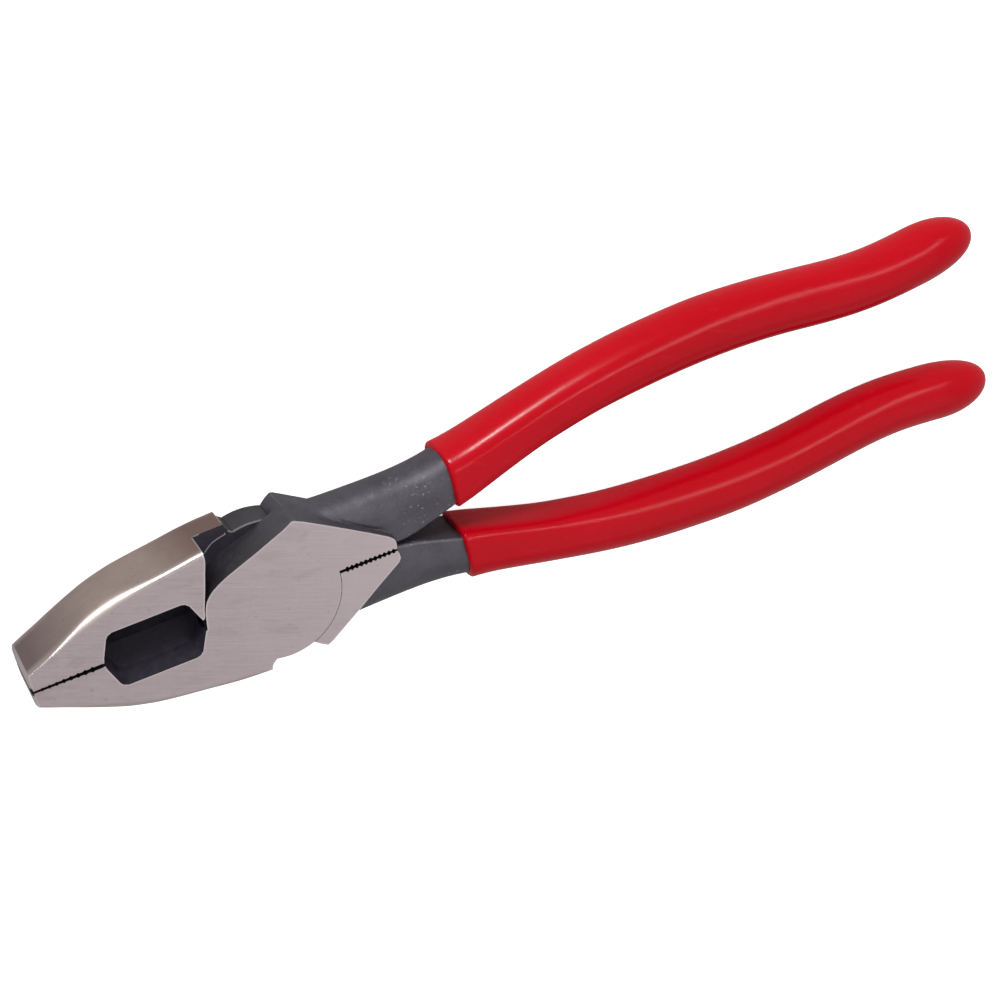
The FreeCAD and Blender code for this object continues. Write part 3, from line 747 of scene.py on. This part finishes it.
def black_oxide():
    s = Shader("forged_black_oxide")
    vector = s.coords()
    big = s.grain(scale=160, detail=4, rough=0.6, vector=vector)
    medium = s.grain(scale=620, detail=4, rough=0.65, vector=vector)
    grain = s.grain(scale=2600, detail=3, rough=0.6, vector=vector)
    spots = s.grain(scale=1350, detail=2, rough=0.5, vector=vector)
    where = s.grain(scale=110, detail=2, rough=0.5, vector=vector)
    s.colour = s.ramp(big, [(0.3, (0.038, 0.034, 0.046)), (0.5, (0.055, 0.050, 0.066)),
                            (0.72, (0.076, 0.070, 0.089))])
    s.tint((0.092, 0.087, 0.103), grain, span=(0.35, 0.7), peak=0.50)
    s.tint((0.036, 0.032, 0.043), medium, span=(0.60, 0.36), peak=0.35)
    # bare spots in groups, mostly on the tangs; thinned out towards the joint so they don't lighten
    # the painted shade there
    along = s.position()["X"]
    few = s.math("MULTIPLY", s.remap(spots, span=(0.63, 0.72), to=(0.0, 0.65)),
                 s.remap(where, span=(0.46, 0.62)))
    few = s.math("MULTIPLY", few, s.remap(along, span=(0.014, 0.027), to=(0.22, 1.0)))
    s.cover((0.36, 0.35, 0.37), amount=few)
    # painted shade: darker round the joint, where the slopes face away from the light
    s.cover((0.028, 0.023, 0.029), amount=s.remap(along, span=(-0.001, 0.010), to=(0.80, 0.0)))
    worn = s.math("MULTIPLY", s.remap(s.attribute("edge"), span=(0.25, 1.1)),
                  s.remap(medium, span=(0.35, 0.6), to=(0.35, 1.0)))
    s.cover((0.27, 0.265, 0.285), amount=worn)
    s.tint((0.016, 0.015, 0.020), s.attribute("edge"), span=(-0.15, -0.9))
    lumps = s.bump(s.average(medium, big, share=0.45), strength=0.6, distance=0.00026)
    s.dress(s.bsdf, {
        "Base Color": s.colour,
        "Metallic": 0.45,
        "Roughness": s.remap(medium, span=(0.3, 0.7), to=(0.38, 0.56)),
        "Specular IOR Level": 1.0,
        "Normal": s.bump(grain, strength=0.5, distance=0.00006, Normal=lumps)})
    return s.material


def dark_steel(name, light, wear=0.0):
    """Dark steel, mostly painted shade for hollows and gaps; light scales its colours and shine, so
    more light paints less shade, and wear brightens its edges.
    """
    s = Shader(name)

    def lit(*rgb):
        return tuple(c * light for c in rgb)
    vector = s.coords()
    medium = s.grain(scale=500, detail=4, rough=0.6, vector=vector)
    streak = s.streaks(stretch=(900, 900, 120), detail=3, rough=0.6)
    s.colour = s.ramp(medium, [(0.3, lit(0.0105, 0.0088, 0.0145)), (0.7, lit(0.019, 0.016, 0.025))])
    s.tint(lit(0.036, 0.031, 0.037), streak, span=(0.5, 0.8), peak=0.4)
    if wear:
        worn = s.math("MULTIPLY", s.remap(s.attribute("edge"), span=(0.35, 1.15)), wear)
        s.cover((0.30, 0.29, 0.31), amount=worn)
    s.dress(s.bsdf, {
        "Base Color": s.colour,
        "Metallic": 0.2,
        "Specular IOR Level": 0.22 * light,
        "Roughness": s.remap(medium, span=(0.3, 0.7), to=(0.50, 0.68)),
        "Normal": s.bump(medium, strength=0.3, distance=0.0001)})
    return s.material


def dipped_vinyl():
    s = Shader("dipped_red_vinyl")
    vector = s.coords()
    big = s.grain(scale=45, detail=3, rough=0.5, vector=vector)
    fine = s.grain(scale=1400, detail=3, rough=0.55, vector=vector)
    waves = s.streaks(stretch=(30, 120, 120), detail=2, rough=0.5)
    s.colour = s.ramp(big, [(0.3, (0.440, 0.0004, 0.0068)), (0.7, (0.480, 0.0010, 0.0095))])
    s.tint((0.62, 0.03, 0.035), fine, span=(0.62, 0.8), peak=0.12)
    rubbed = s.streaks(stretch=(60, 420, 420), turn=0.5, detail=4, rough=0.62)
    s.tint((0.50, 0.045, 0.052), rubbed, span=(0.62, 0.80), peak=0.22)
    swell = s.bump(waves, strength=0.10, distance=0.0004)
    s.dress(s.bsdf, {
        "Base Color": s.colour,
        "Roughness": s.remap(fine, span=(0.3, 0.7), to=(0.17, 0.25)),
        "Specular IOR Level": 0.13,
        "Normal": s.bump(fine, strength=0.10, distance=0.00004, Normal=swell)})
    return s.material


def pale_floor():
    """White to the camera, darker in reflections."""
    s = Shader("pale_floor")
    cloud = s.grain(scale=3.0, detail=2, rough=0.5)
    camera_ray = s.node("LightPath").outputs
    s.dress(s.bsdf, {
        "Base Color": s.ramp(cloud, [(0.2, (0.90, 0.90, 0.90)), (0.8, (0.93, 0.93, 0.93))]),
        "Roughness": 0.9,
        "Specular IOR Level": 0.0,
        "Emission Color": (1, 1, 1, 1),
        "Emission Strength": s.remap(camera_ray["Is Camera Ray"], span=(0, 1), to=(0.0, 0.75))})
    dark = s.node("BsdfDiffuse", {"Color": (0.52, 0.51, 0.51, 1)})
    s.blend_surfaces(camera_ray["Is Glossy Ray"], s.bsdf, dark)
    return s.material


ground, polished, oxide, vinyl = ground_steel(), side_steel(), black_oxide(), dipped_vinyl()
FORGING_MATERIALS = (
    ground, polished, oxide,
    # painted shade: the knife recesses, seam and notched edge are near-black steel, the recess walls
    # a less shaded copy; the lap face steel is a dark finish
    dark_steel("knife_recess_painted_shade", light=1.0),
    dark_steel("recess_wall_painted_shade", light=1.6),
    dark_steel("lap_face_steel", light=1.6, wear=1.0))
GROUND, SIDE, OXIDE, PAINTED_SHADE, PAINTED_SHADE_WALL, LAP_FACE = range(6)      # their slots


# ------------------------------------------------------------------ halves
def worn_edges(points):
    """How sharp the metal is at each vertex: positive on worn edges, negative in corners."""
    around = [(i, j, k) for i in (-1, 0, 1) for j in (-1, 0, 1) for k in (-1, 0, 1)
              if (i, j, k) != (0, 0, 0)]
    edge = np.zeros(len(points), F32)
    for way in around:
        q = (points + 0.38 * np.array(way) / math.sqrt(sum(c * c for c in way))).astype(F32)
        edge += half(q[:, 0], q[:, 1], q[:, 2]) / len(around)
    edge = np.clip(edge / 0.11, -1.5, 1.5)

    # places where the closed tool's parts meet don't wear
    x, y, z = points.T
    radius = np.hypot(x, y)
    shut = radius < 7
    shut |= (np.abs(radius - 13.26) < 0.9) & (x > -3.4) & (y < 0.9) & (z > MID)
    shut |= (np.abs(radius - 13.3) < 0.9) & (x > 4.0) & (z < MID)
    shut |= (x < -46.0) & (x > -48.6)
    shut |= (np.abs(y) < 0.9) & ((x > 12.5) | (x < -34.9))
    shut |= (np.abs(z - MID) < 0.8) & (y > 0) & (x < 7.0)
    # near the lap plane below the disc only its rim wears
    rim = (x > -9.5) & (x < 4.0) & (y < -9.0) & (np.abs(z - MID) < 0.55)
    shut |= rim
    rim &= np.abs(radius - np.where(x < -3.4, rim_at(x), DISC)) < 0.4
    shut &= ~rim
    edge[shut] = np.minimum(edge[shut], 0)
    # the rim's mark is strengthened: part wear, part a painted highlight line along the rim
    edge[rim] *= 1.6
    # the nose end counts as fully worn, which paints its face pale: part wear, part a painted
    # highlight
    edge[x < -48.75] = 1.5
    return edge


def face_slots(points, faces):
    """Material slot of each face; later rules win."""
    a, b, c, d = (points[faces[:, q]] for q in range(4))
    x, y, z = ((a + b + c + d) / 4).T
    normal = np.cross(c - a, d - b)
    normal /= np.linalg.norm(normal, axis=1, keepdims=True) + 1e-12
    nx, ny, nz = normal.T
    aw = np.abs(z - MID)
    flat = np.min(np.abs(points[faces][:, :, 2] - MID), axis=1) > 7.492
    slot = np.full(len(faces), OXIDE)
    slot[flat] = GROUND
    outer = ((ny < -0.05) & (aw <= 7.47)) | ((aw > 6.6) & (np.abs(nz) > 0.3))
    slot[outer & (x < -4.6) & (y < -2.6) & ~flat] = SIDE
    slot[(x < -48.2) & (nx < -0.5)] = GROUND                             # nose end
    # painted shade on the seam's faces and in the knife recesses, with a lighter copy on the recess
    # walls
    slot[(y > -0.9) & (x < -14) & ~flat] = PAINTED_SHADE                          # seam
    hollow = (x > -35.2) & (x < -13.5) & (y > -6.05) & ~flat & (y < 1.3)
    slot[hollow] = PAINTED_SHADE
    slot[hollow & (np.abs(nz) < 0.45) & (x < -14.2)] = PAINTED_SHADE_WALL
    slot[(aw < 0.5) & (np.abs(nz) > 0.9)] = LAP_FACE
    # painted shade on the notched edge, in the gap between the halves
    slot[(x > 12.9) & (x < 25.6) & (y < 0.75) & ~flat] = PAINTED_SHADE            # notched edge
    return slot


def forging(name, points, faces, slots, **marks):
    """One half as an object; each mark becomes a vertex attribute."""
    mesh = bpy.data.meshes.new(name)
    count, corners = faces.shape
    mesh.vertices.add(len(points))
    mesh.vertices.foreach_set("co", (points * METRES).astype(F32).ravel())
    mesh.loops.add(count * corners)
    mesh.loops.foreach_set("vertex_index", faces.astype(np.int32).ravel())
    mesh.polygons.add(count)
    mesh.polygons.foreach_set("loop_start", np.arange(0, count * corners, corners, dtype=np.int32))
    for material in FORGING_MATERIALS:
        mesh.materials.append(material)
    mesh.polygons.foreach_set("material_index", slots.astype(np.int32))
    mesh.update(calc_edges=True)
    mesh.validate()
    mesh.polygons.foreach_set("use_smooth", np.full(len(mesh.polygons), True, bool))
    mesh.set_sharp_from_angle(angle=math.radians(32))
    for key, value in marks.items():
        mesh.attributes.new(key, "FLOAT", "POINT").data.foreach_set("value", value.astype(F32))
    return link_object(name, mesh)


def register(ob, rides, replaces):
    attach(ob, rides)
    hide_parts(replaces)


points, faces = build_half()
shared = dict(
    faces=faces, slots=face_slots(points, faces), edge=worn_edges(points),
    ground=np.clip((np.abs(points[:, 2] - MID) - 7.36) / 0.12, 0, 1))
lower = forging("lower_jaw_forging", points, **shared)
upper = forging("upper_jaw_forging", turned(points), **shared)
register(lower, "lower_jaw_body", "lower_jaw_half")
register(upper, "upper_jaw_body", "upper_jaw_half")

# rivet: the CAD node, ground with the faces
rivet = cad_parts["pivot_rivet"]
rivet.data.materials.clear()
rivet.data.materials.append(ground)


# ------------------------------------------------------------------ grips
RING_COUNT = 128    # points round a section
LIP = 0.65                           # length of the rounded lip at the mouth
CLEARANCE = 0.03                     # between the core and the coat's hollow
LEANING_RINGS = 24                   # outer rings that lean with the mouth
END_START = 150.0                    # from here rings crowd towards the tip


def ring(x, end, inset=0.0, grow=0.0):
    """One section, its points evenly spaced. inset narrows it; grow pushes the outline out."""
    at = max(x, GRIP_START)
    shrink = float(cap(x, **end))
    wide = (float(grip_wide(at)) - inset) * shrink
    high = (float(grip_high(at)) - inset) * shrink
    t = np.linspace(0, 2 * math.pi, 721)
    c, s = np.cos(t), np.sin(t)
    power = np.where(c >= 0, 2 / float(grip_power_out(at)), 2 / float(grip_power_in(at)))
    y = wide * np.sign(c) * np.abs(c) ** power
    z = high * np.sign(s) * np.abs(s) ** power
    length = np.concatenate([[0], np.cumsum(np.hypot(np.diff(y), np.diff(z)))])
    even = np.linspace(0, length[-1], RING_COUNT, endpoint=False)
    y, z = np.interp(even, length, y), np.interp(even, length, z)
    along_y, along_z = np.roll(y, -1) - np.roll(y, 1), np.roll(z, -1) - np.roll(z, 1)
    k = np.hypot(along_y, along_z) + 1e-9
    y, z = y + grow * along_z / k, z - grow * along_y / k
    return np.stack([np.full(RING_COUNT, x), float(grip_middle(at)) + y, MID + z], 1)


def lean(section):
    """Tilt a section near the mouth, as the dip's surface did."""
    fade = max(0.0, 1 - (section[0, 0] - MOUTH) / 14.0)
    section[:, 0] += 0.03 * (section[:, 2] - MID) * fade


def build_grip():
    """Vertices in millimetres, quads and triangles of the upper coat, hollow for the tang."""
    outer = [ring(MOUTH + LIP * (1 - math.cos(q)), GRIP_END,
                  grow=-(COAT + 0.05) * (1 - math.sin(q)))
             for q in np.linspace(0, math.pi / 2, 9)]
    tip = GRIP_END["tip"]
    outer += [ring(x, GRIP_END) for x in np.concatenate([
        np.arange(MOUTH + LIP + 0.5, END_START, 0.75),
        END_START + (tip - END_START) * np.sin(np.linspace(0, 1, 34)[1:-1] * math.pi / 2)])]
    inner = [ring(x, CAVITY_END, inset=COAT - CLEARANCE) for x in np.concatenate([
        [MOUTH + 0.02], np.arange(MOUTH + 1.5, 150, 3.0), np.linspace(151, 153.3, 2),
        153.3 + 7.05 * np.sin(np.linspace(0, 1, 9)[1:-1] * math.pi / 2)])]
    for section in outer[:LEANING_RINGS] + inner:
        lean(section)
    outer_tip = [[tip, float(grip_middle(tip)), MID]]
    inner_tip = [[160.36, float(grip_middle(160.3)), MID]]
    vertices = np.concatenate(outer + [outer_tip] + inner + [inner_tip])

    n = RING_COUNT
    this = np.arange(n)
    following = (this + 1) % n

    def band(first, second):
        return np.stack([first + this, second + this, second + following, first + following], 1)
    tip_index = len(outer) * n
    hollow = tip_index + 1
    end_index = hollow + len(inner) * n
    quads = [band(i * n, (i + 1) * n) for i in range(len(outer) - 1)]
    quads += [np.roll(band(hollow + (i + 1) * n, hollow + i * n), -1, axis=1)
              for i in range(len(inner) - 1)]
    quads.append(band(hollow, 0))
    last_outer, last_inner = tip_index - n, end_index - n
    triangles = [
        np.stack([last_outer + this, np.full(n, tip_index), last_outer + following], 1),
        np.stack([last_inner + this, last_inner + following, np.full(n, end_index)], 1)]
    return vertices, np.concatenate(quads).tolist() + np.concatenate(triangles).tolist()


def coat(name, points, faces):
    mesh = bpy.data.meshes.new(name)
    mesh.from_pydata([tuple(q) for q in (points * METRES).tolist()], [], faces)
    mesh.materials.append(vinyl)
    mesh.validate()
    mesh.update()
    mesh.polygons.foreach_set("use_smooth", np.full(len(mesh.polygons), True, bool))
    return link_object(name, mesh)


coat_points, coat_faces = build_grip()
upper_grip = coat("upper_grip_coat", coat_points, coat_faces)
lower_grip = coat("lower_grip_coat", turned(coat_points), coat_faces)
register(upper_grip, "lower_jaw_body", "upper_handle_grip")
register(lower_grip, "upper_jaw_body", "lower_handle_grip")

# ------------------------------------------------------------------ stage and world
floor_mesh = bpy.data.meshes.new("floor")
floor_mesh.from_pydata([(-6, -6, 0), (6, -6, 0), (6, 6, 0), (-6, 6, 0)], [], [(0, 1, 2, 3)])
floor = link_object("floor", floor_mesh)
floor.location = (0, 0, -0.0006)
floor_mesh.materials.append(pale_floor())

scene = bpy.context.scene
world = bpy.data.worlds.new("studio")
scene.world = world
world.use_nodes = True
background = world.node_tree.nodes["Background"]
background.inputs["Color"].default_value = (1.0, 0.985, 0.98, 1)
background.inputs["Strength"].default_value = 0.55

# ------------------------------------------------------------------ lights
STRIP_AIM = Vector((0.06, 0, 0.0075))
AREA_AIM = Vector((0.05, 0, 0.0075))
AREA_DISTANCE = 1.1
# name, start and end (x, degrees from straight up towards +Y), distance from the X axis,
# width, radiance
STRIPS = [
    ("strip_jaw", (-0.62, 84), (-0.15, 68), 0.9, 0.060, 19.0),
    ("strip_mouth", (-0.15, 68), (0.07, 61), 0.9, 0.115, 21.0),
    ("strip_halo", (-0.15, 68), (0.07, 61), 0.9, 0.300, 2.6),
    ("strip_gloss", (-0.15, 68), (0.058, 61.4), 0.9, 0.130, 75.0),
    ("strip_fade_a", (0.07, 61), (0.14, 58), 0.9, 0.085, 17.0),
    ("strip_fade_b", (0.14, 58), (0.24, 54), 0.9, 0.085, 6.0),
    ("strip_tips", (0.26, 5), (0.82, 40), 0.9, 0.070, 12.5),
    ("jaw_glow", (-0.75, 98), (-0.10, 92), 0.95, 0.34, 0.9),
]
# name, direction from the tool, length, width, radiance
AREAS = [
    ("top_soft", (0.25, -0.40, 0.85), 0.9, 0.8, 0.42),
    ("left_fill", (-0.9, 0.1, 0.5), 0.7, 0.6, 0.5),
]


def soft_box(name, place, x, z, length, width, radiance):
    """A rectangular light with its length along x, shining along -z."""
    light = bpy.data.lights.new(name, "AREA")
    light.shape = "RECTANGLE"
    light.size, light.size_y = length, width
    light.energy = radiance * math.pi * light.size * width
    ob = link_object(name, light)
    axes = Matrix((x, z.cross(x), z)).transposed().to_4x4()
    ob.matrix_world = Matrix.Translation(place) @ axes
    return ob


def polar(x, degrees, distance):
    angle = math.radians(degrees)
    return Vector((x, distance * math.sin(angle), distance * math.cos(angle)))


def strip(name, start, end, distance, width, radiance):
    """A long box between two points, turned to face the tool."""
    start, end = polar(*start, distance), polar(*end, distance)
    middle = (start + end) / 2
    x = (end - start).normalized()
    z = middle - STRIP_AIM
    z = (z - x * z.dot(x)).normalized()
    return soft_box(name, middle, x, z, (end - start).length, width, radiance)


def area(name, direction, length, width, radiance):
    """A box that looks at the tool from a direction, its length as near X as can be."""
    z = Vector(direction).normalized()
    x = Vector((1, 0, 0))
    x = (x - z * x.dot(z)).normalized()
    soft_box(name, AREA_AIM + z * AREA_DISTANCE, x, z, length, width, radiance)


strips = {row[0]: strip(*row) for row in STRIPS}
for row in AREAS:
    area(*row)

# the gloss strip lights only the shine of the two coats, next to their mouths
coats = bpy.data.collections.new("coats")
coats.objects.link(upper_grip)
coats.objects.link(lower_grip)
strips["strip_gloss"].light_linking.receiver_collection = coats
strips["strip_gloss"].visible_diffuse = False

# ------------------------------------------------------------------ camera
camera_data = bpy.data.cameras.new("camera")
camera_data.sensor_width = 36.0
camera_data.lens = 74.95
camera_data.clip_start = 0.01
camera = link_object("camera", camera_data)
right = Vector((0.89481716, -0.19776376, 0.40023962))
down = Vector((-0.35141901, -0.86494838, 0.35828617))
forward = Vector((0.27533059, -0.46125242, -0.84346859))
camera.matrix_world = (Matrix.Translation((-0.065239, 0.192303, 0.363100))
                       @ Matrix((right, -down, -forward)).transposed().to_4x4())
scene.camera = camera
scene.view_settings.view_transform = "Standard"
scene.view_settings.look = "None"
scene.view_settings.exposure = 0.0
scene.view_settings.gamma = 1.0
